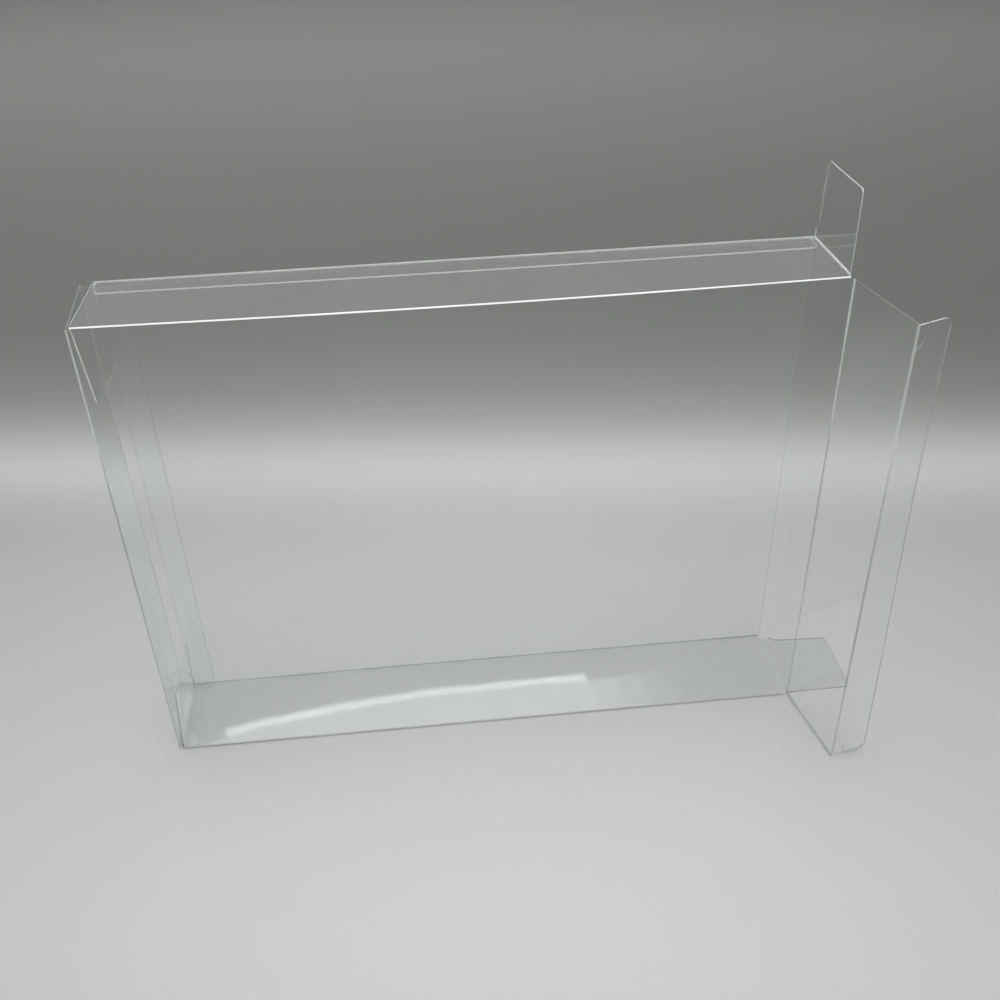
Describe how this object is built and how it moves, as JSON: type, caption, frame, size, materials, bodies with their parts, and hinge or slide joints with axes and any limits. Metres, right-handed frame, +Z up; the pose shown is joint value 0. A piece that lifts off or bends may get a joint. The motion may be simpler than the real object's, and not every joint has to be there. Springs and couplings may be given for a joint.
{
  "type": "game box protector",
  "caption": "Clear folded film sleeve that guards a boxed cartridge game, with tuck lids and dust flaps; one end closed, the other open.",
  "frame": {"origin": "centre of the underside of the sleeve's bottom panel, on the surface it stands on", "axes": "+X along the sleeve's length towards the open end, +Y from the front panel to the rear panel, +Z up"},
  "size_m": [0.213, 0.0557, 0.1618],
  "materials": {
    "film": "clear glossy polyester film"
  },
  "bodies": {
    "sleeve": {"sleeve": "film"},
    "left_lid": {"left_lid": "film"},
    "right_lid": {"right_lid": "film"},
    "right_tuck_flap": {"right_tuck_flap": "film"},
    "top_dust_flap": {"top_dust_flap": "film"},
    "bottom_dust_flap": {"bottom_dust_flap": "film"}
  },
  "joints": [
    {"name": "left_lid_crease", "type": "hinge", "parent": "sleeve", "child": "left_lid", "pos_m": [-0.0948, -0.0141, 0.07025], "axis": [0, 0, 1], "range_deg": [-5.5, 194]},
    {"name": "right_lid_crease", "type": "hinge", "parent": "sleeve", "child": "right_lid", "pos_m": [0.0948, -0.0141, 0.07025], "axis": [0, 0, 1], "range_deg": [-30, 170]},
    {"name": "right_tuck_crease", "type": "hinge", "parent": "right_lid", "child": "right_tuck_flap", "pos_m": [0.09957, -0.04118, 0.07025], "axis": [0, 0, 1], "range_deg": [-100.9, 14]},
    {"name": "top_dust_crease", "type": "hinge", "parent": "sleeve", "child": "top_dust_flap", "pos_m": [0.0939, 0, 0.1403], "axis": [0, 1, 0], "range_deg": [-34, 180]},
    {"name": "bottom_dust_crease", "type": "hinge", "parent": "sleeve", "child": "bottom_dust_flap", "pos_m": [0.0939, 0, 0.0002], "axis": [0, 1, 0], "range_deg": [-90, 0]}
  ]
}
